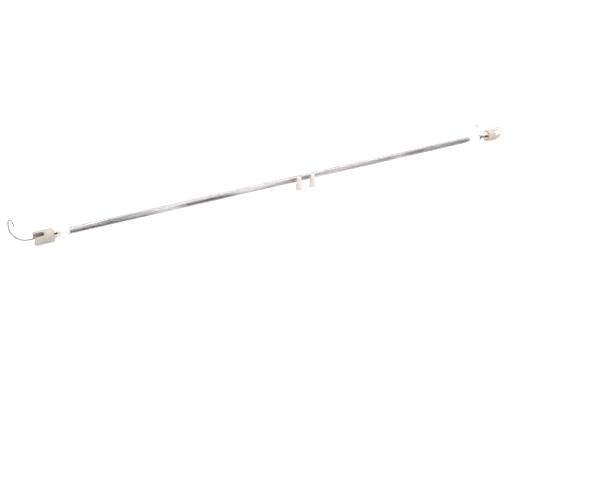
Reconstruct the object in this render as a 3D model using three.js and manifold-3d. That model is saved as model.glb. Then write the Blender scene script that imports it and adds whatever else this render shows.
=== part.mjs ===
// Quartz infrared heat lamp for a food warmer, with two ceramic wire nuts standing beside it.
// Millimetres, +Z up, +X along the lamp. The origin is on the surface the parts lie on, under the
// middle of the rigid parts' box. Each end's pieces are drawn in an end frame: its X runs outward
// along the lamp, with 0 at the cap's outer face, so depths into the lamp are negative.

import * as THREE from "three";
import { mergeVertices } from "three/addons/utils/BufferGeometryUtils.js";
import Module from "manifold-3d";

// Lamp
const LAMP_LENGTH = 757;
const GAP = 0.3; // clearance between neighbouring solids
const COIL_START = 43.5; // from the left cap's outer face
const COIL_LENGTH = 655;
const COIL_OUTER_R = 4.0;
const COIL_INNER_R = 3.2;

// Quartz tube
const TUBE_OUTER_R = 5.0;
const TUBE_INNER_R = 4.3;
const PINCH_END = -20; // outer end of the flat pinch seal
const PINCH_FLAT_TO = -30.5; // where the flat starts to swell into the round tube
const TUBE_ROUND_FROM = -43.4;
const PINCH_HALF_WIDTH = 5.5;
const PINCH_HALF_THICK = 1.5;
const PINCH_SQUARENESS = 0.35; // superellipse power of the flat section; 1 is a plain ellipse
const CHANNEL_HALF_WIDTH = 2.5;
const CHANNEL_HALF_THICK = 0.7;

// Seal foil, outer pin and crimp
const FOIL_FROM = -29.7;
const FOIL_TO = -22.2;
const FOIL_WIDTH = 4.4;
const FOIL_THICK = 0.5;
const PIN_R = 0.5;
const PIN_TO = -15.2;
const CRIMP_FROM = -18.5;
const CRIMP_TO = -11;
const CRIMP_OUTER_R = 1.5;
const CRIMP_INNER_R = 0.85;
const CORE_R = 0.55;
const TAIL_R = 0.4;

// End cap
const CAP_LENGTH = 24;
const CAP_FLAT_R = 8.8; // from the axis to the middle of each flat
const CAP_SIDES = 24;
const CAP_CHAMFER = 0.6;
const CAP_BORE_R = 4.0;
const CAP_COUNTERBORE_R = 6.9;
const CAP_COUNTERBORE_TO = -15;
const SLOT_HALF_WIDTH = 2.8;
const SLOT_DEPTH = 12.5;

// Cement plug: fills the counterbore and grips the pinch between a long and a short tongue
const TONGUE_ROOT_R = 5.6;
const TONGUE_TIP_R = 2.4;
const TONGUE_LONG = 10.5;
const TONGUE_SHORT = 7;

// Leads
const SLEEVE_R = 1.1;
const SLEEVE_START = -10.4;
const LEAD_SIDES = 8;

// Wire nuts
const NUT_HEIGHT = 18.2;
const NUT_BASE_R = 5.2;
const NUT_TOP_R = 3.1;
const NUT_WALL = 0.95;
const NUT_SKIRT = 6.2; // depth of the plain mouth below the spring
const NUT_ROUND_SIDES = 32;
const SPRING_WIRE = 0.8;
const NUT_PLACES = [
  { x: 369.6, y: -16.0 },
  { x: 391.6, y: -16.5 },
]; // from the left cap's outer face, and from the lamp's axis

// Each end: its outward direction, and the angle above the horizontal, towards -Y, that its slot
// and its pinch's edge face
const ENDS = [
  { side: "left", outward: -1, slotAngle: 51, pinchAngle: 27 },
  { side: "right", outward: 1, slotAngle: 33, pinchAngle: 7 },
];

// Lead routes: x from the left cap's outer face, y from the lamp's axis, z above the surface
const LEAD_ROUTES = {
  left: [
    [10.4, 0, 8.8], [4, 0, 8.8], [0, 0, 8.75], [-3, 0.3, 8.5], [-6, 1.5, 7.9], [-9, 4.0, 7.0],
    [-11.6, 7.7, 5.9], [-13.7, 12.3, 4.6], [-15.4, 17.8, 3.2], [-16.9, 24.5, 2.0], [-18.4, 31, 1.4],
    [-19.9, 37, 1.2], [-21.0, 43, 1.2], [-21.5, 49.5, 1.2], [-21.4, 56, 1.2], [-20.8, 63, 1.2],
    [-19.9, 70, 1.2], [-18.8, 77.7, 1.2],
  ],
  right: [
    [746.6, 0, 8.8], [752, 0, 8.8], [757, 0.1, 8.75], [760.5, 0.6, 8.6], [764.2, 2.0, 8.2],
    [768.6, 4.7, 7.5], [773.3, 8.2, 6.6], [778, 12.2, 5.5], [782.8, 16.4, 4.2], [787.3, 20.6, 3.0],
    [791.2, 25.3, 2.1], [793.6, 30.4, 1.5], [793.2, 35.4, 1.25], [789.9, 39.2, 1.2],
    [784.6, 42.2, 1.2], [778.6, 45.2, 1.2], [772.2, 48.3, 1.2], [765.8, 51.3, 1.2],
  ],
};
const BARE_ROUTES = {
  left: [
    [-18.75, 78.2, 1.2], [-18.5, 80.3, 1.1], [-17.4, 82.2, 1.0], [-15.6, 82.3, 0.9],
    [-14.4, 80.4, 0.8], [-14.0, 77.4, 0.7], [-13.8, 72, 0.65], [-14.0, 66.5, 0.65], [-14.3, 61.2, 0.65],
  ],
  right: [
    [765.3, 51.5, 1.2], [763.5, 52.6, 1.1], [762.7, 54.4, 1.0], [763.3, 56.6, 0.8],
    [764.9, 59.6, 0.7], [767.2, 63.4, 0.65],
  ],
};

const AXIS_Z = CAP_FLAT_R;
const nutReach = Math.max(...NUT_PLACES.map((place) => NUT_BASE_R - place.y));
const AXIS_Y = (nutReach - CAP_FLAT_R) / 2;
const lampPoint = ([x, y, z]) => new THREE.Vector3(x - LAMP_LENGTH / 2, y + AXIS_Y, z);
const radians = THREE.MathUtils.degToRad;

const wasm = await Module();
wasm.setup();

// Solids -----------------------------------------------------------------------------------------

function merged(geometry) {
  const bare = geometry.clone();
  bare.deleteAttribute("normal");
  bare.deleteAttribute("uv");
  const joined = mergeVertices(bare, 1e-4);
  const index = joined.index.array;
  const kept = [];
  for (let i = 0; i < index.length; i += 3) {
    const [a, b, c] = [index[i], index[i + 1], index[i + 2]];
    if (a !== b && b !== c && c !== a) kept.push(a, b, c);
  }
  joined.setIndex(kept);
  return joined;
}

function solid(geometry) {
  const mesh = merged(geometry);
  return new wasm.Manifold(
    new wasm.Mesh({
      numProp: 3,
      vertProperties: Float32Array.from(mesh.attributes.position.array),
      triVerts: Uint32Array.from(mesh.index.array),
    }),
  );
}

function geometryOf(manifold) {
  const mesh = manifold.getMesh();
  const geometry = new THREE.BufferGeometry();
  geometry.setAttribute("position", new THREE.BufferAttribute(mesh.vertProperties, 3));
  geometry.setIndex(new THREE.BufferAttribute(mesh.triVerts, 1));
  geometry.computeVertexNormals();
  return geometry;
}

// A solid of revolution about X from [x, radius] pairs, in order round the section.
function turned(profile, sides, startAngle = 0) {
  const points = profile.map(([x, radius]) => new THREE.Vector2(radius, x));
  return merged(new THREE.LatheGeometry(points, sides, startAngle)).rotateZ(-Math.PI / 2);
}

function rod(from, to, radius, sides) {
  return turned([[from, 0], [from, radius], [to, radius], [to, 0]], sides);
}

function tube(from, to, outer, inner, sides) {
  return turned([[from, inner], [from, outer], [to, outer], [to, inner], [from, inner]], sides);
}

function box(x0, x1, y0, y1, z0, z1) {
  const geometry = new THREE.BoxGeometry(x1 - x0, y1 - y0, z1 - z0);
  return geometry.translate((x0 + x1) / 2, (y0 + y1) / 2, (z0 + z1) / 2);
}

function wire(points, radius, steps) {
  const section = new THREE.Shape();
  for (let i = 0; i < LEAD_SIDES; i++) {
    const angle = (2 * Math.PI * i) / LEAD_SIDES;
    const corner = [radius * Math.cos(angle), radius * Math.sin(angle)];
    if (i === 0) section.moveTo(...corner);
    else section.lineTo(...corner);
  }
  section.closePath();
  const path = new THREE.CatmullRomCurve3(points, false, "centripetal");
  return merged(new THREE.ExtrudeGeometry(section, { steps, bevelEnabled: false, extrudePath: path }));
}

const signed = (value, power) => Math.sign(value) * Math.abs(value) ** power;
const mix = THREE.MathUtils.lerp;

// Squeezes a round bar, turned about X, into the pinch: its section goes from a circle of the given
// radius to a squarish flat one of the given half width (along Z) and half thickness (along Y).
function pinched(geometry, { radius, halfWidth, halfThick, flatTo, roundFrom }) {
  const position = geometry.attributes.position;
  for (let i = 0; i < position.count; i++) {
    const x = position.getX(i);
    const y = position.getY(i);
    const z = position.getZ(i);
    const flat = THREE.MathUtils.smoothstep(x, roundFrom, flatTo);
    const reach = Math.hypot(y, z);
    if (reach === 0 || flat === 0) continue;
    const power = mix(1, PINCH_SQUARENESS, flat);
    const share = reach / radius;
    position.setY(i, share * mix(radius, halfThick, flat) * signed(y / reach, power));
    position.setZ(i, share * mix(radius, halfWidth, flat) * signed(z / reach, power));
  }
  return geometry;
}

function stations(from, to, count) {
  return Array.from({ length: count + 1 }, (_, i) => mix(from, to, i / count));
}

// Sub-parts --------------------------------------------------------------------------------------

const LAMP_MIDDLE = -LAMP_LENGTH / 2;
const JOIN = 0.5; // how far one half of a bar runs into the other before they are joined
const TUBE_SIDES = 32;

// The outside of one end of the tube, from the given x outward, larger all round by the margin.
function tubeOutside(from, margin) {
  const radius = TUBE_OUTER_R + margin;
  const xs = [PINCH_END + margin, ...stations(PINCH_FLAT_TO, TUBE_ROUND_FROM, 10), from];
  const outside = pinched(turned(barProfile(xs, radius), TUBE_SIDES), {
    radius,
    halfWidth: PINCH_HALF_WIDTH + margin,
    halfThick: PINCH_HALF_THICK + margin,
    flatTo: PINCH_FLAT_TO,
    roundFrom: TUBE_ROUND_FROM,
  });
  return solid(outside);
}

// One half of the quartz tube in its end frame: the outer bar less its cavity, foil channel and
// pin hole.
function tubeHalf() {
  const channelEnd = FOIL_TO + GAP;
  const channelFlatTo = FOIL_FROM - GAP;
  const cavityStations = [
    channelEnd, ...stations(channelFlatTo, TUBE_ROUND_FROM, 10), LAMP_MIDDLE - 2 * JOIN,
  ];
  const cavity = pinched(
    turned(barProfile(cavityStations, TUBE_INNER_R), TUBE_SIDES),
    {
      radius: TUBE_INNER_R,
      halfWidth: CHANNEL_HALF_WIDTH,
      halfThick: CHANNEL_HALF_THICK,
      flatTo: channelFlatTo,
      roundFrom: TUBE_ROUND_FROM,
    },
  );
  const pinHole = rod(channelEnd - GAP, PINCH_END + 1, PIN_R + GAP, 12);
  return tubeOutside(LAMP_MIDDLE - JOIN, 0).subtract(solid(cavity)).subtract(solid(pinHole));
}

function barProfile(xs, radius) {
  const inward = [...xs].reverse();
  return [[inward[0], 0], ...inward.map((x) => [x, radius]), [xs[0], 0]];
}

function quartzTube() {
  const half = solidHalfTurns.map((turn) => tubeHalf().transform(turn.elements));
  return geometryOf(half[0].add(half[1]));
}

// From an end frame to the lamp: turned about X so that local Z faces the given angle, then
// carried out to that end.
function endMatrix(end, angle) {
  const matrix = new THREE.Matrix4();
  const turn = new THREE.Euler(radians(90 - angle), 0, end.outward < 0 ? Math.PI : 0);
  matrix.makeRotationFromEuler(turn);
  return matrix.setPosition((end.outward * LAMP_LENGTH) / 2, AXIS_Y, AXIS_Z);
}

const solidHalfTurns = ENDS.map((end) => endMatrix(end, end.pinchAngle));

function heatingCoil() {
  const from = COIL_START - LAMP_LENGTH / 2;
  const sleeve = tube(from, from + COIL_LENGTH, COIL_OUTER_R, COIL_INNER_R, TUBE_SIDES);
  return sleeve.translate(0, AXIS_Y, AXIS_Z);
}

// The straight end of the winding: along the axis from the foil, then out to the coil's first turn
// on its lower side.
function coilTail(gapToCoil) {
  const turnR = (COIL_OUTER_R + COIL_INNER_R) / 2;
  const end = -gapToCoil + GAP;
  const start = FOIL_FROM - GAP;
  const points = [
    new THREE.Vector3(start, 0, 0),
    new THREE.Vector3(mix(start, end, 0.35), 0, 0),
    new THREE.Vector3(end + 6.5, 0.2, 0),
    new THREE.Vector3(end + 4, 1.1, 0),
    new THREE.Vector3(end + 1.8, turnR - 0.5, 0),
    new THREE.Vector3(end, turnR, 0),
  ];
  return wire(points, TAIL_R, 20);
}

function sealFoil() {
  return box(FOIL_FROM, FOIL_TO, -FOIL_THICK / 2, FOIL_THICK / 2, -FOIL_WIDTH / 2, FOIL_WIDTH / 2);
}

function outerPin() {
  return rod(FOIL_TO + GAP, PIN_TO, PIN_R, 12);
}

function crimpSleeve() {
  return tube(CRIMP_FROM, CRIMP_TO, CRIMP_OUTER_R, CRIMP_INNER_R, 16);
}

function leadCore() {
  return rod(PIN_TO + GAP, SLEEVE_START - GAP, CORE_R, 12);
}

function tongue(length, side) {
  const root = -CAP_LENGTH + JOIN;
  const tip = -CAP_LENGTH - length;
  const bulge = stations(0, 1, 5).map((share) => [
    mix(-CAP_LENGTH, tip, share),
    mix(TONGUE_ROOT_R, TONGUE_TIP_R, share ** 1.6),
  ]);
  const cone = turned([[tip, 0], ...bulge.reverse(), [root, TONGUE_ROOT_R], [root, 0]], TUBE_SIDES);
  const reach = side * 2 * TONGUE_ROOT_R;
  const half = box(tip - 1, root + 1, Math.min(0, reach), Math.max(0, reach), -10, 10);
  return solid(cone).intersect(solid(half));
}

function cementPlug() {
  const plugR = CAP_COUNTERBORE_R - GAP;
  const plugTo = CAP_COUNTERBORE_TO - GAP;
  const crimpHole = rod(PINCH_END - 1, plugTo + 1, CRIMP_OUTER_R + GAP, 16);
  const plug = solid(rod(-CAP_LENGTH, plugTo, plugR, 48))
    .add(tongue(TONGUE_LONG, 1))
    .add(tongue(TONGUE_SHORT, -1))
    .subtract(tubeOutside(TUBE_ROUND_FROM - 1, GAP))
    .subtract(solid(crimpHole));
  return geometryOf(plug);
}

// A ceramic barrel with a slot cut right through its outer end, a bore for the lead and a
// counterbore for the cement. Its flats lie square to the surface, whatever the slot's angle.
function endCap(end) {
  const cornerR = CAP_FLAT_R / Math.cos(Math.PI / CAP_SIDES);
  const barrel = turned(
    [
      [-CAP_LENGTH, CAP_COUNTERBORE_R],
      [-CAP_LENGTH, cornerR - CAP_CHAMFER],
      [-CAP_LENGTH + CAP_CHAMFER, cornerR],
      [-CAP_CHAMFER, cornerR],
      [0, cornerR - CAP_CHAMFER],
      [0, CAP_BORE_R],
      [CAP_COUNTERBORE_TO, CAP_BORE_R],
      [CAP_COUNTERBORE_TO, CAP_COUNTERBORE_R],
      [-CAP_LENGTH, CAP_COUNTERBORE_R],
    ],
    CAP_SIDES,
    Math.PI / CAP_SIDES,
  );
  const outline = new THREE.Shape();
  const slotCentre = -SLOT_DEPTH + SLOT_HALF_WIDTH;
  outline.moveTo(1, SLOT_HALF_WIDTH);
  outline.lineTo(slotCentre, SLOT_HALF_WIDTH);
  outline.absarc(slotCentre, 0, SLOT_HALF_WIDTH, Math.PI / 2, (3 * Math.PI) / 2, false);
  outline.lineTo(1, -SLOT_HALF_WIDTH);
  outline.closePath();
  const through = 2.4 * CAP_FLAT_R;
  const cutter = new THREE.ExtrudeGeometry(outline, {
    depth: through, bevelEnabled: false, curveSegments: 10,
  });
  cutter.translate(0, 0, -through / 2).rotateX(end.outward * radians(90 - end.slotAngle));
  return geometryOf(solid(barrel).subtract(solid(cutter)));
}

function leadSleeve(side) {
  return wire(LEAD_ROUTES[side].map(lampPoint), SLEEVE_R, 30);
}

function bareEnd(side) {
  return wire(BARE_ROUTES[side].map(lampPoint), CORE_R, 18);
}

// A straight-sided cone with a rounded closed top, standing on its open mouth.
function nutShell() {
  const innerTop = NUT_HEIGHT - 2.6;
  const shoulder = NUT_HEIGHT - 1.1;
  const profile = [
    [innerTop, 0],
    [innerTop, NUT_TOP_R - NUT_WALL + 0.35],
    [NUT_SKIRT, nutInnerR(NUT_SKIRT)],
    [NUT_SKIRT, nutInnerR(NUT_SKIRT) + 0.25],
    [0, NUT_BASE_R - NUT_WALL],
    [0, NUT_BASE_R],
    [1.4, NUT_BASE_R - 0.05],
    [shoulder, NUT_TOP_R],
    [shoulder + 0.6, NUT_TOP_R - 0.25],
    [NUT_HEIGHT - 0.15, NUT_TOP_R - 0.85],
    [NUT_HEIGHT, NUT_TOP_R - 1.6],
    [NUT_HEIGHT, 0],
  ];
  return turned(profile, NUT_ROUND_SIDES).rotateY(-Math.PI / 2);
}

function nutInnerR(height) {
  return mix(NUT_BASE_R - NUT_WALL, NUT_TOP_R - NUT_WALL, height / NUT_HEIGHT);
}

function nutSpring() {
  const bottom = NUT_SKIRT + GAP;
  const top = NUT_HEIGHT - 2.6 - 2 * GAP;
  const outer = (height) => nutInnerR(height) - GAP;
  const profile = [
    [bottom, outer(bottom) - SPRING_WIRE],
    [bottom, outer(bottom)],
    [top, outer(top)],
    [top, outer(top) - SPRING_WIRE],
    [bottom, outer(bottom) - SPRING_WIRE],
  ];
  return turned(profile, NUT_ROUND_SIDES).rotateY(-Math.PI / 2);
}

// Materials --------------------------------------------------------------------------------------

const finish = (color, roughness, metalness, extra = {}) =>
  new THREE.MeshStandardMaterial({ color, roughness, metalness, ...extra });

const materials = {
  quartz: () => finish(0xf4f5f5, 0.05, 0, { transparent: true, opacity: 0.3 }),
  winding: () => finish(0x9b9795, 0.4, 1),
  foil: () => finish(0x5c5856, 0.45, 1),
  nickel: () => finish(0xa9a59d, 0.35, 1),
  cement: () => finish(0xecd3c8, 0.9, 0),
  capCeramic: () => finish(0xcfc4b8, 0.75, 0),
  nutCeramic: () => finish(0xe6dcd2, 0.6, 0),
  braid: () => finish(0xd6cfc6, 0.85, 0),
  copper: () => finish(0xb07a56, 0.35, 1),
  springSteel: () => finish(0xb5b2ac, 0.3, 1),
};

// Assembly ---------------------------------------------------------------------------------------

const model = new THREE.Group();

function place(name, geometry, material, matrix = new THREE.Matrix4()) {
  const mesh = new THREE.Mesh(geometry, material);
  mesh.name = name;
  mesh.applyMatrix4(matrix);
  model.add(mesh);
}

place("quartz_tube", quartzTube(), materials.quartz());
place("heating_coil", heatingCoil(), materials.winding());

for (const end of ENDS) {
  const { side } = end;
  const pinch = endMatrix(end, end.pinchAngle);
  const square = endMatrix(end, 90);
  const gapToCoil = end.outward < 0 ? COIL_START : LAMP_LENGTH - COIL_START - COIL_LENGTH;
  place(`coil_tail_${side}`, coilTail(gapToCoil), materials.winding(), pinch);
  place(`seal_foil_${side}`, sealFoil(), materials.foil(), pinch);
  place(`outer_pin_${side}`, outerPin(), materials.nickel(), pinch);
  place(`crimp_sleeve_${side}`, crimpSleeve(), materials.nickel(), pinch);
  place(`cement_plug_${side}`, cementPlug(), materials.cement(), pinch);
  place(`end_cap_${side}`, endCap(end), materials.capCeramic(), square);
  place(`lead_core_${side}`, leadCore(), materials.copper(), pinch);
  place(`lead_sleeve_${side}`, leadSleeve(side), materials.braid());
  place(`bare_end_${side}`, bareEnd(side), materials.copper());
}

NUT_PLACES.forEach(({ x, y }, i) => {
  const spot = new THREE.Matrix4().setPosition(lampPoint([x, y, 0]));
  place(`wire_nut_shell_${i + 1}`, nutShell(), materials.nutCeramic(), spot);
  place(`wire_nut_spring_${i + 1}`, nutSpring(), materials.springSteel(), spot);
});

export default model;
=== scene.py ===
"""Fine shape and finish of a quartz heat lamp and the two ceramic wire nuts that stand beside it.

Metres, +X along the lamp, +Z up, the surface at z = 0. Each end of the lamp is drawn in depths:
distances in from its cap's outer face.
"""

import math

import bmesh
import bpy
import numpy as np
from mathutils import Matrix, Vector, noise


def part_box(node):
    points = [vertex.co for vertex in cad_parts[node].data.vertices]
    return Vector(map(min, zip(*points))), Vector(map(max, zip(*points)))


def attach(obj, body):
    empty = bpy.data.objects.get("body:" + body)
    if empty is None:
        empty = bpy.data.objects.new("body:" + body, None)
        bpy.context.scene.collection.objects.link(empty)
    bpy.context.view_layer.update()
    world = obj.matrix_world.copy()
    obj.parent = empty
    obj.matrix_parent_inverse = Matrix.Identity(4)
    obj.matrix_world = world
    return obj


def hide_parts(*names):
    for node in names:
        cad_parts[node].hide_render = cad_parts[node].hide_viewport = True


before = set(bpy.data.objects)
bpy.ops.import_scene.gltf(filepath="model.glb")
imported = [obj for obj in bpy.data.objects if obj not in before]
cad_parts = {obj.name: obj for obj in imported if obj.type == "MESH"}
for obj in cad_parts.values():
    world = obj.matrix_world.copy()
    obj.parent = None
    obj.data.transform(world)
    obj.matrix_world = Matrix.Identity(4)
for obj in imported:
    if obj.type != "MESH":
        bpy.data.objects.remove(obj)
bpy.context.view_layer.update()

MM = 0.001

# Places taken from the frame ---------------------------------------------------------------------

CAP_LOW = {side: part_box(f"end_cap_{side}")[0] for side in ("left", "right")}
CAP_HIGH = {side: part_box(f"end_cap_{side}")[1] for side in ("left", "right")}
FACE_X = {"left": CAP_LOW["left"].x, "right": CAP_HIGH["right"].x}
CAP_R = (CAP_HIGH["left"].z - CAP_LOW["left"].z) / 2
AXIS_Y = (CAP_LOW["left"].y + CAP_HIGH["left"].y) / 2
AXIS_Z = (CAP_LOW["left"].z + CAP_HIGH["left"].z) / 2
OUTWARD = {"left": -1, "right": 1}
SIDES = ("left", "right")
SLOT_ANGLE = {"left": math.radians(51), "right": math.radians(33)}
PINCH_ANGLE = {"left": math.radians(27), "right": math.radians(7)}

# Lead routes: x from the left cap's outer face, y from the lamp's axis, z above the surface
LEAD_ROUTES = {
    "left": [
        (0.0104, 0, 0.0088), (0.004, 0, 0.0088), (0, 0, 0.00875), (-0.003, 0.0003, 0.0085),
        (-0.006, 0.0015, 0.0079), (-0.009, 0.004, 0.007), (-0.0116, 0.0077, 0.0059),
        (-0.0137, 0.0123, 0.0046), (-0.0154, 0.0178, 0.0032), (-0.0169, 0.0245, 0.002),
        (-0.0184, 0.031, 0.0014), (-0.0199, 0.037, 0.0012), (-0.021, 0.043, 0.0012),
        (-0.0215, 0.0495, 0.0012), (-0.0214, 0.056, 0.0012), (-0.0208, 0.063, 0.0012),
        (-0.0199, 0.07, 0.0012), (-0.0188, 0.0777, 0.0012),
    ],
    "right": [
        (0.7466, 0, 0.0088), (0.752, 0, 0.0088), (0.757, 0.0001, 0.00875),
        (0.7605, 0.0006, 0.0086), (0.7642, 0.002, 0.0082), (0.7686, 0.0047, 0.0075),
        (0.7733, 0.0082, 0.0066), (0.778, 0.0122, 0.0055), (0.7828, 0.0164, 0.0042),
        (0.7873, 0.0206, 0.003), (0.7912, 0.0253, 0.0021), (0.7936, 0.0304, 0.0015),
        (0.7932, 0.0354, 0.00125), (0.7899, 0.0392, 0.0012), (0.7846, 0.0422, 0.0012),
        (0.7786, 0.0452, 0.0012), (0.7722, 0.0483, 0.0012), (0.7658, 0.0513, 0.0012),
    ],
}
BARE_ROUTES = {
    "left": [
        (-0.01875, 0.0782, 0.0012), (-0.0185, 0.0803, 0.0011), (-0.0174, 0.0822, 0.001),
        (-0.0156, 0.0823, 0.0009), (-0.0144, 0.0804, 0.0008), (-0.014, 0.0774, 0.0007),
        (-0.0138, 0.072, 0.00065), (-0.014, 0.0665, 0.00065), (-0.0143, 0.0612, 0.00065),
    ],
    "right": [
        (0.7653, 0.0515, 0.0012), (0.7635, 0.0526, 0.0011), (0.7627, 0.0544, 0.001),
        (0.7633, 0.0566, 0.0008), (0.7649, 0.0596, 0.0007), (0.7672, 0.0634, 0.00065),
    ],
}
SLEEVE_DIAMETER = 2.2 * MM


def lamp_point(x, y, z):
    return Vector((x + FACE_X["left"], y + AXIS_Y, z))


# Camera ------------------------------------------------------------------------------------------

CAMERA_PLACE = (-0.4835, -0.8728, 0.4629)
CAMERA_HEADING = math.radians(28.88)  # turned right from looking along +Y
CAMERA_DIP = math.radians(29.068)


def set_camera():
    data = bpy.data.cameras.new("viewpoint")
    data.lens = 45
    data.sensor_width = 36
    data.clip_start = 0.01
    camera = bpy.data.objects.new("viewpoint", data)
    camera.location = CAMERA_PLACE
    camera.rotation_euler = (math.pi / 2 - CAMERA_DIP, 0, -CAMERA_HEADING)
    bpy.context.collection.objects.link(camera)
    bpy.context.scene.camera = camera


# Mesh making -------------------------------------------------------------------------------------

def smooth_route(points, spacing):
    """A centripetal Catmull-Rom curve through the points, cut into equal steps."""
    knots = np.array([tuple(p) for p in points], float)
    ends = np.vstack([2 * knots[0] - knots[1], knots, 2 * knots[-1] - knots[-2]])
    fine = []
    for p0, p1, p2, p3 in zip(ends, ends[1:], ends[2:], ends[3:]):
        t1 = math.sqrt(np.linalg.norm(p1 - p0))
        t2 = t1 + math.sqrt(np.linalg.norm(p2 - p1))
        t3 = t2 + math.sqrt(np.linalg.norm(p3 - p2))
        t = np.linspace(t1, t2, 40, endpoint=False)[:, None]
        a1 = (t1 - t) / t1 * p0 + t / t1 * p1
        a2 = (t2 - t) / (t2 - t1) * p1 + (t - t1) / (t2 - t1) * p2
        a3 = (t3 - t) / (t3 - t2) * p2 + (t - t2) / (t3 - t2) * p3
        b1 = (t2 - t) / t2 * a1 + t / t2 * a2
        b2 = (t3 - t) / (t3 - t1) * a2 + (t - t1) / (t3 - t1) * a3
        fine.append((t2 - t) / (t2 - t1) * b1 + (t - t1) / (t2 - t1) * b2)
    fine = np.vstack([*fine, knots[-1:]])
    run = np.concatenate([[0], np.cumsum(np.linalg.norm(np.diff(fine, axis=0), axis=1))])
    places = np.linspace(0, run[-1], max(2, round(run[-1] / spacing) + 1))
    return np.stack([np.interp(places, run, fine[:, k]) for k in range(3)], 1)


def frames_along(line):
    """Tangent and two cross directions at each point, carried along without twisting."""
    tangent = np.gradient(line, axis=0)
    tangent /= np.linalg.norm(tangent, axis=1)[:, None]
    side = np.cross(tangent[0], (0, 0, 1))
    if np.linalg.norm(side) < 1e-6:
        side = np.cross(tangent[0], (0, 1, 0))
    sides = []
    for way in tangent:
        side = side - way * side.dot(way)
        side /= np.linalg.norm(side)
        sides.append(side)
    sides = np.array(sides)
    return tangent, sides, np.cross(tangent, sides)


def ring_faces(rings, sides, offset=0):
    """Quads between neighbouring rings of the same number of points."""
    i, k = np.meshgrid(np.arange(rings - 1), np.arange(sides), indexing="ij")
    here, there = i * sides, (i + 1) * sides
    after = (k + 1) % sides
    quads = np.stack([here + k, here + after, there + after, there + k], -1)
    return quads.reshape(-1, 4) + offset


def make_piece(name, points, quads, caps=(), smooth_below=40, fields=None):
    """A mesh object from points, an array of quads, and caps as lists of point numbers."""
    mesh = bpy.data.meshes.new(name)
    loops = np.concatenate([np.asarray(quads).ravel(), *[np.asarray(c) for c in caps]]).astype(int)
    counts = np.array([4] * len(quads) + [len(c) for c in caps])
    mesh.vertices.add(len(points))
    mesh.vertices.foreach_set("co", np.asarray(points, np.float32).ravel())
    mesh.loops.add(len(loops))
    mesh.loops.foreach_set("vertex_index", loops)
    mesh.polygons.add(len(counts))
    mesh.polygons.foreach_set("loop_start", np.concatenate([[0], np.cumsum(counts)[:-1]]))
    mesh.update(calc_edges=True)
    mesh.validate()
    for field, values in (fields or {}).items():
        mesh.attributes.new(field, "FLOAT", "POINT").data.foreach_set("value", values)
    mesh.shade_smooth()
    mesh.set_sharp_from_angle(angle=math.radians(smooth_below))
    piece = bpy.data.objects.new(name, mesh)
    bpy.context.collection.objects.link(piece)
    return piece


def swept(line, radius, sides):
    """Points, quads and end caps of a rod along a line. radius is one number, or one for each
    point of each ring."""
    _, across, up = frames_along(line)
    angle = np.arange(sides) * 2 * math.pi / sides
    reach = np.full((len(line), sides), radius) if np.ndim(radius) == 0 else radius
    cosine, sine = np.cos(angle)[None, :, None], np.sin(angle)[None, :, None]
    ring = cosine * across[:, None] + sine * up[:, None]
    points = (line[:, None] + reach[..., None] * ring).reshape(-1, 3)
    first = list(range(sides))[::-1]
    last = list(range((len(line) - 1) * sides, len(line) * sides))
    return points, ring_faces(len(line), sides), [first, last]


def joined(parts):
    """Several (points, quads, caps) as one."""
    points, quads, caps, start = [], [], [], 0
    for p, q, c in parts:
        points.append(p)
        quads.append(q + start)
        caps += [[i + start for i in cap] for cap in c]
        start += len(p)
    return np.vstack(points), np.vstack(quads), caps


def revolved(profile, sides, to_world):
    """Points and quads of a closed section, [along, radius] pairs, turned about its own axis.
    A pair with radius 0 is a whole ring of points at the axis, merged later."""
    angle = np.arange(sides) * 2 * math.pi / sides
    along, radius = np.array(profile).T
    points = np.stack([
        np.repeat(along[:, None], sides, 1),
        radius[:, None] * np.cos(angle),
        radius[:, None] * np.sin(angle),
    ], -1).reshape(-1, 3)
    return to_world(points), ring_faces(len(profile), sides)


def weld(piece, distance=1e-6):
    """Joins points that lie together and turns all faces outwards."""
    work = bmesh.new()
    work.from_mesh(piece.data)
    bmesh.ops.remove_doubles(work, verts=work.verts, dist=distance)
    bmesh.ops.dissolve_degenerate(work, edges=work.edges, dist=distance)
    bmesh.ops.recalc_face_normals(work, faces=work.faces)
    work.to_mesh(piece.data)
    work.free()
    return piece


def rounded(profile, radius, steps=5):
    """The corners of a section, [along, radius] pairs, turned into arcs of about that radius."""
    corners = [Vector(p) for p in profile]
    out = [corners[0]]
    for before, corner, after in zip(corners, corners[1:], corners[2:]):
        into, away = (before - corner), (after - corner)
        reach = min(radius, into.length * 0.45, away.length * 0.45)
        a, b = corner + into.normalized() * reach, corner + away.normalized() * reach
        for i in range(steps + 1):
            t = i / steps
            out.append(a.lerp(corner, t).lerp(corner.lerp(b, t), t))
    out.append(corners[-1])
    return [tuple(p) for p in out]


def apply_modifiers(piece):
    mesh = bpy.data.meshes.new_from_object(piece.evaluated_get(bpy.context.evaluated_depsgraph_get()))
    piece.modifiers.clear()
    old, piece.data = piece.data, mesh
    mesh.name = piece.name
    bpy.data.meshes.remove(old)
    return piece


def end_axes(side, angle):
    """An end frame's directions: outward, towards the given angle above -Y, and across both."""
    outward = Vector((OUTWARD[side], 0, 0))
    facing = Vector((0, -math.cos(angle), math.sin(angle)))
    return outward, facing, outward.cross(facing)


def end_place(side, angle):
    """Carries (outward, across, facing) coordinates of one end, 0 at the cap's face, to the lamp."""
    outward, facing, across = (np.array(v) for v in end_axes(side, angle))
    origin = np.array((FACE_X[side], AXIS_Y, AXIS_Z))
    return lambda p: origin + p[:, :1] * outward - p[:, 1:2] * across + p[:, 2:3] * facing


def finish_piece(piece, body, material, replaces=()):
    piece.data.materials.clear()
    piece.data.materials.append(material)
    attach(piece, body)
    if replaces:
        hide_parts(*replaces)
    return piece


# Shader parts ------------------------------------------------------------------------------------

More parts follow.
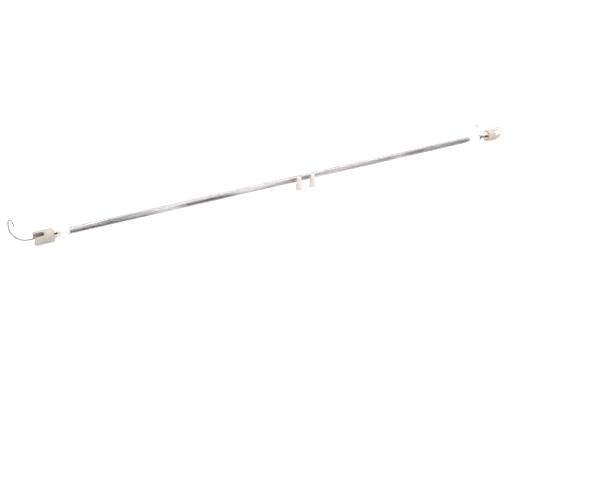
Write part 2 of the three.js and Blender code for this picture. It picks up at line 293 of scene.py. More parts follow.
def new_group(name, inputs, outputs):
    """An empty node group with float or colour sockets, given as {name: default}."""
    tree = bpy.data.node_groups.new(name, "ShaderNodeTree")
    for label, value in inputs.items():
        kind = "NodeSocketColor" if isinstance(value, tuple) else "NodeSocketFloat"
        socket = tree.interface.new_socket(name=label, in_out="INPUT", socket_type=kind)
        socket.default_value = (*value, 1) if isinstance(value, tuple) else value
    for label, kind in outputs.items():
        tree.interface.new_socket(name=label, in_out="OUTPUT", socket_type=kind)
    return tree, tree.nodes.new("NodeGroupInput"), tree.nodes.new("NodeGroupOutput")


def add(tree, kind, values=None, links=None, **settings):
    """A node with its properties, socket values and incoming links set."""
    node = tree.nodes.new(kind)
    for key, value in settings.items():
        setattr(node, key, value)
    for key, value in (values or {}).items():
        node.inputs[key].default_value = value
    for key, source in (links or {}).items():
        tree.links.new(source, node.inputs[key])
    return node


def math_node(tree, operation, a, b=None, clamp=False):
    node = add(tree, "ShaderNodeMath", operation=operation, use_clamp=clamp)
    for socket, value in zip(node.inputs, (a, b)):
        if value is None:
            continue
        if isinstance(value, (int, float)):
            socket.default_value = value
        else:
            tree.links.new(value, socket)
    return node.outputs[0]


def ramp(tree, source, low, high):
    """Stretches source so that low gives 0 and high gives 1."""
    node = add(tree, "ShaderNodeMapRange", {"From Min": low, "From Max": high}, {"Value": source})
    return node.outputs["Result"]


def blend_colours(tree, share, a, b, mode="MIX"):
    node = add(tree, "ShaderNodeMix", data_type="RGBA", blend_type=mode)
    for key, value in ((0, share), (6, a), (7, b)):
        if isinstance(value, (int, float)):
            node.inputs[key].default_value = value
        elif isinstance(value, tuple):
            node.inputs[key].default_value = (*value, 1)
        else:
            tree.links.new(value, node.inputs[key])
    return node.outputs[2]


def noise_texture(tree, place, scale, detail):
    node = add(tree, "ShaderNodeTexNoise", {"Scale": scale, "Detail": detail}, {"Vector": place})
    return node.outputs["Fac"]


def fired_clay_group():
    """Mottled fired clay: two colours in soft clouds, dark specks, pores and a grain to bump."""
    tree, into, out = new_group(
        "fired_clay",
        {"Light": (0.8, 0.8, 0.8), "Dark": (0.6, 0.6, 0.6), "Speck": (0.3, 0.25, 0.2),
         "Cloud Scale": 120.0, "Grain Scale": 2200.0, "Specks": 0.5, "Roughness": 0.7},
        {"Color": "NodeSocketColor", "Roughness": "NodeSocketFloat", "Height": "NodeSocketFloat"},
    )
    place = add(tree, "ShaderNodeTexCoord").outputs["Object"]
    cloud = add(tree, "ShaderNodeTexNoise", {"Detail": 4.0, "Roughness": 0.55},
                {"Vector": place, "Scale": into.outputs["Cloud Scale"]}).outputs["Fac"]
    grain = add(tree, "ShaderNodeTexNoise", {"Detail": 5.0, "Roughness": 0.65},
                {"Vector": place, "Scale": into.outputs["Grain Scale"]}).outputs["Fac"]
    cells = add(tree, "ShaderNodeTexVoronoi", {"Randomness": 1.0},
                {"Vector": place, "Scale": math_node(tree, "MULTIPLY", into.outputs["Grain Scale"], 0.35)})
    speck = math_node(tree, "MULTIPLY", ramp(tree, cells.outputs["Distance"], 0.22, 0.08),
                      into.outputs["Specks"])
    colour = blend_colours(tree, ramp(tree, cloud, 0.35, 0.65), into.outputs["Dark"], into.outputs["Light"])
    fine = blend_colours(tree, 0.25, colour, add(
        tree, "ShaderNodeCombineColor", links={"Red": grain, "Green": grain, "Blue": grain},
    ).outputs["Color"], "OVERLAY")
    tree.links.new(blend_colours(tree, speck, fine, into.outputs["Speck"]), out.inputs["Color"])
    rough = math_node(tree, "ADD", into.outputs["Roughness"],
                      math_node(tree, "MULTIPLY", math_node(tree, "SUBTRACT", cloud, 0.5), 0.3))
    tree.links.new(rough, out.inputs["Roughness"])
    swell = math_node(tree, "ADD", grain, math_node(tree, "MULTIPLY", cloud, 0.6))
    height = math_node(tree, "SUBTRACT", swell, math_node(tree, "MULTIPLY", speck, 0.8))
    tree.links.new(height, out.inputs["Height"])
    return tree


def worn_metal_group():
    """Drawn metal: a main colour with tarnish in clouds, fine streaks, and a height to bump."""
    tree, into, out = new_group(
        "worn_metal",
        {"Clean": (0.6, 0.6, 0.6), "Tarnish": (0.2, 0.18, 0.16), "Scale": 300.0,
         "Amount": 0.5, "Roughness": 0.35},
        {"Color": "NodeSocketColor", "Roughness": "NodeSocketFloat", "Height": "NodeSocketFloat"},
    )
    place = add(tree, "ShaderNodeTexCoord").outputs["Object"]
    cloud = add(tree, "ShaderNodeTexNoise", {"Detail": 5.0, "Roughness": 0.6},
                {"Vector": place, "Scale": into.outputs["Scale"]}).outputs["Fac"]
    fine = add(tree, "ShaderNodeTexNoise", {"Detail": 3.0, "Roughness": 0.5},
               {"Vector": place, "Scale": math_node(tree, "MULTIPLY", into.outputs["Scale"], 9.0)},
               ).outputs["Fac"]
    mask = math_node(tree, "MULTIPLY", ramp(tree, cloud, 0.35, 0.7), into.outputs["Amount"])
    tree.links.new(blend_colours(tree, mask, into.outputs["Clean"], into.outputs["Tarnish"]),
                   out.inputs["Color"])
    rough = math_node(tree, "ADD", into.outputs["Roughness"], math_node(tree, "MULTIPLY", mask, 0.35))
    waver = math_node(tree, "MULTIPLY", math_node(tree, "SUBTRACT", fine, 0.5), 0.2)
    wavered = math_node(tree, "ADD", rough, waver)
    tree.links.new(wavered, out.inputs["Roughness"])
    tree.links.new(fine, out.inputs["Height"])
    return tree


def new_material(name):
    material = bpy.data.materials.new(name)
    material.use_nodes = True
    tree = material.node_tree
    return material, tree, tree.nodes["Principled BSDF"]


def bump(tree, shader, height, distance, strength=1.0):
    node = add(tree, "ShaderNodeBump", {"Distance": distance, "Strength": strength}, {"Height": height})
    tree.links.new(node.outputs["Normal"], shader.inputs["Normal"])


def use_group(tree, group, values):
    node = add(tree, "ShaderNodeGroup", node_tree=group)
    for key, value in values.items():
        node.inputs[key].default_value = (*value, 1) if isinstance(value, tuple) else value
    return node


def clay_material(name, group, bump_depth, specular=0.4, **values):
    material, tree, shader = new_material(name)
    clay = use_group(tree, group, {key.replace("_", " "): value for key, value in values.items()})
    tree.links.new(clay.outputs["Color"], shader.inputs["Base Color"])
    tree.links.new(clay.outputs["Roughness"], shader.inputs["Roughness"])
    shader.inputs["Specular IOR Level"].default_value = specular
    bump(tree, shader, clay.outputs["Height"], bump_depth)
    return material


def metal_material(name, group, bump_depth, **values):
    material, tree, shader = new_material(name)
    metal = use_group(tree, group, values)
    shader.inputs["Metallic"].default_value = 1
    tree.links.new(metal.outputs["Color"], shader.inputs["Base Color"])
    tree.links.new(metal.outputs["Roughness"], shader.inputs["Roughness"])
    bump(tree, shader, metal.outputs["Height"], bump_depth)
    return material


# Stretches of painted shade on the winding's underside and towards the front, darker in some stretches than
# others, from the left end of the frame: the place of the middle, the half length, how dark, and how far
# round from the underside the painted shade reaches.
PAINTED_SHADE_STRETCHES = (
    (-0.303, 0.064, 0.97, -0.32), (-0.258, 0.036, 1.0, 0.42), (-0.145, 0.040, 0.97, 0.02),
    (-0.030, 0.036, 0.40, -0.35), (0.122, 0.050, 0.38, 0.05), (0.272, 0.088, 0.52, 0.50),
    # painted shade on the winding beside the two wire nuts
    (-0.010, 0.006, 0.55, 0.30), (0.011, 0.006, 0.55, 0.30),
)


def winding_material():
    """Resistance wire: bright and clean, with painted shade that turns it near black and duller on the
    underside and towards the front, in long stretches with broken edges."""
    material, tree, shader = new_material("resistance_wire")
    place = add(tree, "ShaderNodeTexCoord").outputs["Object"]
    split = add(tree, "ShaderNodeSeparateXYZ", links={"Vector": place})
    along = split.outputs["X"]
    mottle = noise_texture(tree, place, 420.0, 3.0)
    uneven = math_node(tree, "MULTIPLY", math_node(tree, "SUBTRACT", mottle, 0.5), 0.5)
    # how far a point faces down and towards the front, -Y, where the painted shade lies
    to_front = math_node(tree, "SUBTRACT", AXIS_Y, split.outputs["Y"])
    below = math_node(tree, "SUBTRACT", AXIS_Z, split.outputs["Z"])
    down = math_node(tree, "ADD", math_node(tree, "MULTIPLY", to_front, 110.0),
                     math_node(tree, "MULTIPLY", below, 230.0))
    # scale holds the painted shade's mask, from 0 to 1
    scale = None
    for middle, half, dark, shade_wrap in PAINTED_SHADE_STRETCHES:
        off = math_node(tree, "ABSOLUTE", math_node(tree, "SUBTRACT", along, middle))
        reach = ramp(tree, math_node(tree, "ADD", off, math_node(tree, "MULTIPLY", uneven, 0.006)),
                     half + 0.010, half - 0.014)
        under = ramp(tree, math_node(tree, "ADD", down, uneven), -shade_wrap - 0.45, -shade_wrap + 0.35)
        patch = math_node(tree, "MULTIPLY", math_node(tree, "MULTIPLY", reach, under), dark)
        scale = patch if scale is None else math_node(tree, "MAXIMUM", scale, patch)
    metal = use_group(tree, METAL, {"Clean": (0.69, 0.65, 0.66), "Tarnish": (0.41, 0.37, 0.38),
                                    "Scale": 260.0, "Amount": 0.5, "Roughness": 0.32})
    shader.inputs["Metallic"].default_value = 1
    # painted shade: where its mask is full the wire is near black
    tree.links.new(blend_colours(tree, scale, metal.outputs["Color"], (0.072, 0.059, 0.061)),
                   shader.inputs["Base Color"])
    rough = math_node(tree, "ADD", metal.outputs["Roughness"], math_node(tree, "MULTIPLY", scale, 0.25))
    tree.links.new(rough, shader.inputs["Roughness"])
    bump(tree, shader, metal.outputs["Height"], 0.00001)
    return material


def quartz_material():
    """Clear fused quartz with faint drawn streaks, and painted shade that makes it greyer where a wall is
    seen edge on, darkening the tube's outline. Lamps shine straight through it."""
    material, tree, shader = new_material("clear_quartz")
    edge_on = add(tree, "ShaderNodeLayerWeight", {"Blend": 0.5}).outputs["Facing"]
    # painted shade: the glass turns grey where it is seen edge on
    edge_shade = blend_colours(tree, ramp(tree, edge_on, 0.60, 0.97), (1.0, 0.995, 0.99), (0.55, 0.54, 0.53))
    tree.links.new(edge_shade, shader.inputs["Base Color"])
    shader.inputs["Transmission Weight"].default_value = 1
    shader.inputs["IOR"].default_value = 1.458
    place = add(tree, "ShaderNodeTexCoord").outputs["Object"]
    drawn = add(tree, "ShaderNodeMapping", {"Scale": (0.04, 1, 1)}, {"Vector": place})
    streaks = noise_texture(tree, drawn.outputs["Vector"], 700.0, 3.0)
    haze = noise_texture(tree, place, 60.0, 4.0)
    dull = math_node(tree, "MULTIPLY", ramp(tree, haze, 0.45, 0.8), 0.06)
    tree.links.new(dull, shader.inputs["Roughness"])
    bump(tree, shader, streaks, 0.00001)
    clear = add(tree, "ShaderNodeBsdfTransparent", {"Color": (0.96, 0.96, 0.96, 1)})
    shadow = add(tree, "ShaderNodeLightPath").outputs["Is Shadow Ray"]
    mixed = add(tree, "ShaderNodeMixShader", links={0: shadow, 1: shader.outputs[0], 2: clear.outputs[0]})
    tree.links.new(mixed.outputs[0], tree.nodes["Material Output"].inputs["Surface"])
    return material


def sleeving_material(name, light, dark, dip_shade):
    """Glass-fibre sleeving: pale yarns with soiled patches, and painted shade where they dip under each
    other.
    """
    material, tree, shader = new_material(name)
    weave = add(tree, "ShaderNodeAttribute", attribute_name="weave").outputs["Fac"]
    place = add(tree, "ShaderNodeTexCoord").outputs["Object"]
    soil = noise_texture(tree, place, 160.0, 4.0)
    fibre = noise_texture(tree, place, 6000.0, 2.0)
    yarn = blend_colours(tree, ramp(tree, soil, 0.35, 0.7), light, dark)
    # painted shade in the braid's hollows, where the weave is low
    shaded = blend_colours(tree, ramp(tree, weave, 0.1, 0.75), dip_shade, yarn)
    tree.links.new(shaded, shader.inputs["Base Color"])
    tree.links.new(ramp(tree, fibre, -0.6, 1.1), shader.inputs["Roughness"])
    shader.inputs["Sheen Weight"].default_value = 0.3
    bump(tree, shader, fibre, 0.00003)
    return material


CLAY = fired_clay_group()
METAL = worn_metal_group()

QUARTZ = quartz_material()
# The left lead's sleeving is a darker copy of the right one's: painted shade of the left end.
SLEEVING = {
    "left": sleeving_material("sleeving_shaded", light=(0.40, 0.375, 0.355),
                              dark=(0.29, 0.265, 0.25), dip_shade=(0.12, 0.11, 0.10)),
    "right": sleeving_material("sleeving_lighter", light=(0.66, 0.63, 0.59),
                               dark=(0.56, 0.53, 0.49), dip_shade=(0.26, 0.24, 0.22)),
}
STEATITE = clay_material(
    "steatite_cap", CLAY, 0.00004, Light=(0.545, 0.495, 0.445), Dark=(0.470, 0.418, 0.370),
    Speck=(0.30, 0.25, 0.20), Cloud_Scale=90.0, Grain_Scale=1800.0, Specks=0.35, Roughness=0.66,
)
CEMENT = clay_material(
    "pink_cement", CLAY, 0.00012, specular=0.2, Light=(0.78, 0.64, 0.575), Dark=(0.68, 0.53, 0.465),
    Speck=(0.45, 0.30, 0.24), Cloud_Scale=240.0, Grain_Scale=1300.0, Specks=0.4, Roughness=0.9,
)
PORCELAIN = clay_material(
    "porcelain_nut", CLAY, 0.00002, specular=0.5, Light=(0.71, 0.655, 0.62), Dark=(0.65, 0.58, 0.54),
    Speck=(0.45, 0.36, 0.28), Cloud_Scale=140.0, Grain_Scale=2600.0, Specks=0.2, Roughness=0.5,
)
WINDING = winding_material()
FOIL = {
    side: metal_material(f"seal_foil_{look}", METAL, 0.00001, Clean=clean, Tarnish=tarnish,
                         Scale=900.0, Amount=0.7, Roughness=0.55)
    for side, look, clean, tarnish in (
        # the left foil is near black: its own dark tone, and painted shade of the gap in the pinch round it
        ("left", "dark_and_shaded", (0.060, 0.050, 0.048), (0.025, 0.020, 0.020)),
        ("right", "browned", (0.80, 0.58, 0.46), (0.40, 0.27, 0.20)),
    )
}
NICKEL = metal_material(
    "dull_nickel", METAL, 0.00001, Clean=(0.50, 0.48, 0.44), Tarnish=(0.20, 0.17, 0.14),
    Scale=700.0, Amount=0.6, Roughness=0.36,
)
COPPER = metal_material(
    "copper_strands", METAL, 0.00001, Clean=(0.44, 0.22, 0.13), Tarnish=(0.20, 0.10, 0.06),
    Scale=900.0, Amount=0.6, Roughness=0.38,
)
TINNED = metal_material(
    "dull_tinned_strands", METAL, 0.00001, Clean=(0.062, 0.053, 0.058), Tarnish=(0.028, 0.023, 0.026),
    Scale=900.0, Amount=0.6, Roughness=0.5,
)
SPRING = metal_material(
    "plated_spring", METAL, 0.00001, Clean=(0.60, 0.58, 0.53), Tarnish=(0.30, 0.26, 0.20),
    Scale=500.0, Amount=0.4, Roughness=0.28,
)


# Leads -------------------------------------------------------------------------------------------

CARRIERS = 8  # yarns each way round the sleeving
BRAID_PITCH = 5.2 * MM  # length in which a yarn goes once round
YARN_RISE = 0.09 * MM
STRAND_R = 0.2 * MM
STRANDS_TUCKED = 0.3  # share of the lead's last step that the strands reach back inside it


def braid_height(around, along):
    """How high the braid stands, from 0 to 1, for yarns running both ways over and under."""
    a = CARRIERS * (around + along / BRAID_PITCH)
    b = CARRIERS * (around - along / BRAID_PITCH)
    heights = []
    for own, other, turn in ((a, b, 1), (b, a, -1)):
        across = 2 * (own - np.floor(own)) - 1
        over = turn * np.sin(np.pi * other) * np.where(np.floor(own) % 2 == 0, 1, -1)
        heights.append(np.sqrt(np.clip(1 - across**2, 0, 1)) * (0.55 + 0.45 * over))
    return np.maximum(*heights)


def lead_sleeve(side):
    sides, ring_step = 48, 0.15 * MM
    line = smooth_route([lamp_point(*p) for p in LEAD_ROUTES[side]], ring_step)
    along = np.arange(len(line)) * ring_step
    around = np.arange(sides) / sides
    height = braid_height(around[None, :], along[:, None])
    from_end = along[-1] - along[:, None]
    flare = 0.22 * MM * np.exp(-(from_end / (1.2 * MM)) ** 2) * (1 + 0.5 * np.sin(14 * math.pi * around))
    radius = SLEEVE_DIAMETER / 2 - YARN_RISE + YARN_RISE * height + flare
    points, quads, caps = swept(line, radius, sides)
    points[:, 2] = np.maximum(points[:, 2], 0.02 * MM)
    piece = make_piece(f"braided_lead_{side}", points, quads, caps, fields={"weave": height.ravel()})
    finish_piece(piece, "lamp", SLEEVING[side], [f"lead_sleeve_{side}"])
    return piece, line


def twisted_strands(line, count, lay_r, lay_length, splay):
    """Strands twisted round a line, one in the middle, opening out by splay at its last end."""
    _, across, up = frames_along(line)
    step = np.linalg.norm(np.diff(line, axis=0), axis=1).mean()
    along = np.arange(len(line)) * step
    open_out = 1 + splay * np.clip((along - along[-1] + 4 * MM) / (4 * MM), 0, 1) ** 2
    parts = [swept(line, STRAND_R, 8)]
    for k in range(count - 1):
        angle = 2 * math.pi * (k / (count - 1) + along / lay_length)
        reach = lay_r * open_out * (1 + 0.12 * math.sin(2.3 * k))
        strand = line + reach[:, None] * (np.cos(angle)[:, None] * across + np.sin(angle)[:, None] * up)
        end = len(line) - int(k * 1.7) % 5
        parts.append(swept(strand[:end], STRAND_R, 8))
    return joined(parts)


def bare_end(side, material):
    (x0, y0, z0), (x1, y1, z1) = LEAD_ROUTES[side][-2:]
    tucked = (x1 + (x0 - x1) * STRANDS_TUCKED, y1 + (y0 - y1) * STRANDS_TUCKED, z1)
    line = smooth_route([lamp_point(*p) for p in (tucked, *BARE_ROUTES[side])], 0.25 * MM)
    points, quads, caps = twisted_strands(line, 7, 2.2 * STRAND_R, 9 * MM, 0.9 if side == "left" else 0.5)
    points[:, 2] = np.maximum(points[:, 2], 0.02 * MM)
    piece = make_piece(f"bare_strands_{side}", points, quads, caps)
    return finish_piece(piece, "lamp", material, [f"bare_end_{side}"])


set_camera()
for side, bare_metal in (("left", COPPER), ("right", TINNED)):
    sleeve, centreline = lead_sleeve(side)
    end_piece = bare_end(side, bare_metal)


# Quartz tube, winding and seals ------------------------------------------------------------------

TUBE_OUTER_R = 5.0 * MM
TUBE_INNER_R = 4.3 * MM
PINCH_END = -20 * MM
PINCH_FLAT_TO = -30.5 * MM
TUBE_ROUND_FROM = -43.4 * MM
PINCH_HALF_WIDTH = 5.5 * MM
PINCH_HALF_THICK = 1.5 * MM
CHANNEL_HALF_WIDTH = 2.4 * MM  # the cavity's narrow end, beside the foil
CHANNEL_HALF_THICK = 0.65 * MM
CAVITY_FROM = PINCH_FLAT_TO - 1.2 * MM
GLASS_SIDES = 72
SWELL_RINGS = 22

COIL_LOW, COIL_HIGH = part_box("heating_coil")
COIL_OUTER_R = (COIL_HIGH.z - COIL_LOW.z) / 2
WIRE_R = 0.38 * MM
WIRE_SIDES = 8
TURN_STEPS = 21
COIL_PITCH = 1.16 * MM
COIL_SHORT = 2.5 * MM  # how far its last turn stops before the end of its space
COIL_LAY_R = COIL_OUTER_R - WIRE_R - 0.02 * MM
TAIL_FROM = -28.4 * MM  # where it lies on the foil

FOIL_LOW = -29.7 * MM
FOIL_HIGH = -22.2 * MM
FOIL_HALF_WIDTH = 2.2 * MM
FOIL_THICK = 0.14 * MM
FOIL_RIPPLE = 0.12 * MM
FOIL_WAVE = {"left": 0.62 * MM, "right": 0.35 * MM}  # how far it bows to either side of flat

CRIMP_LOW = -18.5 * MM
CRIMP_HIGH = -11 * MM
CRIMP_OUTER_R = 1.5 * MM
CRIMP_INNER_R = 0.8 * MM
CRIMP_BITES = (-16.9 * MM, -12.8 * MM)
CRIMP_SIDES = 40


def smoothstep(value):
    t = np.clip(value, 0, 1)
    return t * t * (3 - 2 * t)


def glass_ring(x, facing, flat, radius, half_width, half_thick):
    """One ring of a skin of the tube: a circle where flat is 0, squarish and thin where it is 1."""
    angle = np.arange(GLASS_SIDES) * 2 * math.pi / GLASS_SIDES
    power = 1 - 0.58 * flat
    wide = np.sign(np.cos(angle)) * np.abs(np.cos(angle)) ** power * (radius + (half_width - radius) * flat)
    thin = np.sign(np.sin(angle)) * np.abs(np.sin(angle)) ** power * (radius + (half_thick - radius) * flat)
    towards = np.array((0, -math.cos(facing), math.sin(facing)))
    across = np.array((0, math.sin(facing), math.cos(facing)))
    return np.array((x, AXIS_Y, AXIS_Z)) + wide[:, None] * towards + thin[:, None] * across


def glass_skin(depths, flat_to, **shape):
    """Rings from the left end to the right one, closed at both ends by a small dome."""
    stations = []
    for side, order in (("left", depths), ("right", depths[::-1])):
        for depth in order:
            flat = float(smoothstep((depth - TUBE_ROUND_FROM) / (flat_to - TUBE_ROUND_FROM)))
            stations.append((FACE_X[side] + OUTWARD[side] * depth, PINCH_ANGLE[side], flat))
        if side == "left":
            last_x = stations[-1][0]
            for share in np.linspace(0, 1, 56)[1:-1]:
                facing = PINCH_ANGLE["left"] + (PINCH_ANGLE["right"] - PINCH_ANGLE["left"]) * share
                x = last_x * (1 - share) + (FACE_X["right"] + TUBE_ROUND_FROM) * share
                stations.append((x, facing, 0.0))
    rings = [glass_ring(*station, **shape) for station in stations]
    for end, beyond in ((0, -1), (-1, 1)):
        centre = rings[end].mean(0)
        dome = [centre + (rings[end] - centre) * share + np.array((beyond * rise, 0, 0))
                for share, rise in ((0.96, 0.12 * MM), (0.85, 0.25 * MM), (0.5, 0.36 * MM))]
        rings = dome[::-1] + rings if end == 0 else rings + dome
    last = (len(rings) - 1) * GLASS_SIDES
    caps = [list(range(GLASS_SIDES))[::-1], list(range(last, last + GLASS_SIDES))]
    return np.vstack(rings), ring_faces(len(rings), GLASS_SIDES), caps


def volume_sign(points, quads):
    """Whether a closed skin's faces look outwards, 1, or inwards, -1."""
    a, b, c, d = (points[quads[:, k]] for k in range(4))
    six = np.einsum("ij,ij->i", a, np.cross(b, c)) + np.einsum("ij,ij->i", a, np.cross(c, d))
    return 1 if six.sum() > 0 else -1


def quartz_glass():
    """A tube fused solid round the foil at both ends, with its cavity as an inner skin."""
    swelling = np.linspace(PINCH_FLAT_TO, TUBE_ROUND_FROM, SWELL_RINGS).tolist()
    outer = [PINCH_END, (PINCH_END + PINCH_FLAT_TO) / 2, *swelling]
    inner = np.linspace(CAVITY_FROM, TUBE_ROUND_FROM, SWELL_RINGS).tolist()
    skins = (
        (outer, PINCH_FLAT_TO, TUBE_OUTER_R, PINCH_HALF_WIDTH, PINCH_HALF_THICK, 1),
        (inner, CAVITY_FROM, TUBE_INNER_R, CHANNEL_HALF_WIDTH, CHANNEL_HALF_THICK, -1),
    )
    parts = []
    for depths, flat_to, radius, half_width, half_thick, way in skins:
        points, quads, caps = glass_skin(depths, flat_to, radius=radius, half_width=half_width,
                                         half_thick=half_thick)
        if volume_sign(points, quads) != way:
            quads, caps = quads[:, ::-1], [cap[::-1] for cap in caps]
        parts.append((points, quads, caps))
    piece = make_piece("quartz_glass", *joined(parts), smooth_below=70)
    return finish_piece(piece, "lamp", QUARTZ, ["quartz_tube"])


def coil_radius(run):
    """The winding's radius along it: it wavers very slightly, as a wound coil does."""
    return COIL_LAY_R - 0.05 * MM * (0.5 + 0.5 * np.sin(run * 47) * np.cos(run * 113))


def winding():
    """A close helix whose first and last turns meet the straight tails."""
    length = COIL_HIGH.x - COIL_LOW.x - 2 * WIRE_R - COIL_SHORT
    turns = length / COIL_PITCH
    turn = np.linspace(0, turns, round(turns * TURN_STEPS) + 1)
    run = turn * COIL_PITCH
    start = end_axes("left", PINCH_ANGLE["left"] - math.pi / 2)[1]
    angle = math.atan2(start.z, start.y) + 2 * math.pi * turn
    reach = coil_radius(run)
    drift = 0.16 * MM * np.sin(run * 31) + 0.1 * MM * np.sin(run * 83)  # uneven spacing
    line = np.stack([
        COIL_LOW.x + WIRE_R + run + drift * np.minimum(1, np.minimum(run, length - run) / (4 * MM)),
        AXIS_Y + reach * np.cos(angle),
        AXIS_Z + reach * np.sin(angle),
    ], 1)
    radial = np.stack([np.zeros(len(line)), np.cos(angle), np.sin(angle)], 1)
    tangent = np.gradient(line, axis=0)
    tangent /= np.linalg.norm(tangent, axis=1)[:, None]
    third = np.cross(tangent, radial)
    around = np.arange(WIRE_SIDES) * 2 * math.pi / WIRE_SIDES
    cosine, sine = np.cos(around)[None, :, None], np.sin(around)[None, :, None]
    ring = cosine * radial[:, None] + sine * third[:, None]
    points = (line[:, None] + WIRE_R * ring).reshape(-1, 3)
    caps = [list(range(WIRE_SIDES))[::-1], list(range(len(points) - WIRE_SIDES, len(points)))]
    quads = ring_faces(len(line), WIRE_SIDES)
    piece = make_piece("resistance_coil", points, quads, caps, smooth_below=75)
    finish_piece(piece, "lamp", WINDING, ["heating_coil"])
    return line[0], line[-1]


def coil_tail(side, meets):
    """The winding's straight end: from the foil along the axis, then out to the coil's end."""
    outward = np.array((OUTWARD[side], 0, 0))
    axis_at = lambda depth: np.array((FACE_X[side], AXIS_Y, AXIS_Z)) + outward * depth
    coil_depth = (meets[0] - FACE_X[side]) * OUTWARD[side]
    out = meets - axis_at(coil_depth)
    points = [
        axis_at(TAIL_FROM),
        axis_at(TAIL_FROM + 0.35 * (coil_depth - TAIL_FROM)),
        axis_at(coil_depth + 6.5 * MM) + out * 0.04,
    ]
    points += [axis_at(coil_depth + rise) + out * share
               for rise, share in ((4 * MM, 0.3), (1.9 * MM, 0.83), (0.8 * MM, 0.98))]
    points.append(meets)
    line = smooth_route(points, 0.25 * MM)
    piece = make_piece(f"coil_tail_{side}_wire", *swept(line, WIRE_R, 12))
    return finish_piece(piece, "lamp", WINDING, [f"coil_tail_{side}"])


def seal_foil(side):
    """A thin metal strip with feathered, slightly rippled edges, fused into the pinch."""
    place = end_place(side, PINCH_ANGLE[side])
    u, v = np.meshgrid(np.linspace(FOIL_LOW, FOIL_HIGH, 40), np.linspace(-1, 1, 17), indexing="ij")
    ripple = FOIL_RIPPLE * np.sin(u * 2600 + 1.2 * v) * (0.4 + np.abs(v))
    ripple += FOIL_WAVE[side] * np.sin(math.pi * v)
    edge = FOIL_THICK * np.sqrt(np.clip(1 - v**2, 0.02, 1)) / 2
    from_middle = np.abs(u - (FOIL_LOW + FOIL_HIGH) / 2)
    width = FOIL_HALF_WIDTH * (1 - 0.12 * smoothstep((from_middle - 3 * MM) / (0.75 * MM)))
    skins = [np.stack([u, ripple + way * edge, v * width], -1).reshape(-1, 3) for way in (1, -1)]
    rows, columns = u.shape
    i, k = np.meshgrid(np.arange(rows - 1), np.arange(columns - 1), indexing="ij")
    corner = i * columns + k
    top = np.stack([corner, corner + columns, corner + columns + 1, corner + 1], -1).reshape(-1, 4)
    rim = np.concatenate([
        np.arange(columns), np.arange(1, rows) * columns + columns - 1,
        (rows - 1) * columns + np.arange(columns - 2, -1, -1), np.arange(rows - 2, 0, -1) * columns,
    ])
    below = rim + rows * columns
    wall = np.stack([rim, np.roll(rim, -1), np.roll(below, -1), below], 1)
    quads = np.vstack([top, top[:, ::-1] + rows * columns, wall])
    piece = weld(make_piece(f"seal_foil_{side}_strip", place(np.vstack(skins)), quads))
    return finish_piece(piece, "lamp", FOIL[side], [f"seal_foil_{side}"])


def crimp_barrel(side):
    """A nickel barrel squeezed at one place on the pin and at another on the lead."""
    section = [
        (CRIMP_LOW, CRIMP_INNER_R), (CRIMP_LOW, CRIMP_OUTER_R), (CRIMP_HIGH, CRIMP_OUTER_R),
        (CRIMP_HIGH, CRIMP_INNER_R), (CRIMP_LOW, CRIMP_INNER_R),
    ]
    fine = rounded(section, 0.2 * MM)
    dense = []
    for (x0, r0), (x1, r1) in zip(fine, fine[1:]):
        count = max(1, round(abs(x1 - x0) / (0.25 * MM)))
        dense += [(x0 + (x1 - x0) * i / count, r0 + (r1 - r0) * i / count) for i in range(count)]
    dense.append(fine[-1])
    points, quads = revolved(dense, CRIMP_SIDES, lambda p: p)
    bite = sum(np.exp(-((points[:, 0] - at) / (0.8 * MM)) ** 2) for at in CRIMP_BITES)
    angle = np.arctan2(points[:, 2], points[:, 1])
    squeeze = 1 - 0.16 * bite * np.cos(2 * angle) ** 2
    points[:, 1:] *= squeeze[:, None]
    piece = weld(make_piece(f"crimp_barrel_{side}", end_place(side, SLOT_ANGLE[side])(points), quads))
    return finish_piece(piece, "lamp", NICKEL, [f"crimp_sleeve_{side}"])


quartz_glass()
coil_ends = dict(zip(SIDES, winding()))
for side in SIDES:
    coil_tail(side, coil_ends[side])
    seal_foil(side)
    crimp_barrel(side)


# Ceramics ----------------------------------------------------------------------------------------

CAP_LENGTH = CAP_HIGH["left"].x - CAP_LOW["left"].x
COUNTERBORE_R = 6.9 * MM
COUNTERBORE_TO = -15 * MM
BORE_R = 4.0 * MM
SLOT_HALF_WIDTH = 2.8 * MM
SLOT_DEPTH = 12.5 * MM
CEMENT_DRAWN_OUT = {"left": 0.16, "right": 0.36}  # how much further its tongues reach along the pinch
CEMENT_SWELL = 0.2  # how far it stands out where it leaves the cap


def soften(piece, voxel, rounds):
    """Fuses a piece's solids into one even skin and rounds its edges, as pressing clay does."""
    remesh = piece.modifiers.new("fuse", "REMESH")
    remesh.mode = "VOXEL"
    remesh.voxel_size = voxel
    smooth = piece.modifiers.new("round_edges", "SMOOTH")
    smooth.factor, smooth.iterations = 0.5, rounds
    apply_modifiers(piece)
    piece.data.shade_smooth()
    return piece


def cut(piece, cutter):
    tool = piece.modifiers.new("cut", "BOOLEAN")
    tool.operation = "DIFFERENCE"
    tool.solver = "EXACT"
    tool.object = cutter
    apply_modifiers(piece)
    mesh = cutter.data
    bpy.data.objects.remove(cutter)
    bpy.data.meshes.remove(mesh)
    return piece


def slot_cutter(side):
    """A long bar with one round end, as deep as the slot and as long as the cap is wide."""
    centre = -SLOT_DEPTH + SLOT_HALF_WIDTH
    arc = [(centre - SLOT_HALF_WIDTH * math.cos(a), SLOT_HALF_WIDTH * math.sin(a))
           for a in np.linspace(-math.pi / 2, math.pi / 2, 21)]
    outline = [(2 * MM, -SLOT_HALF_WIDTH), *arc, (2 * MM, SLOT_HALF_WIDTH)]
    count = len(outline)
    points = np.array([(u, w, v) for v in (-1.3 * CAP_R, 1.3 * CAP_R) for u, w in outline])
    piece = make_piece(
        "slot_cutter", end_place(side, SLOT_ANGLE[side])(points), ring_faces(2, count),
        [list(range(count))[::-1], list(range(count, 2 * count))],
    )
    return weld(piece)


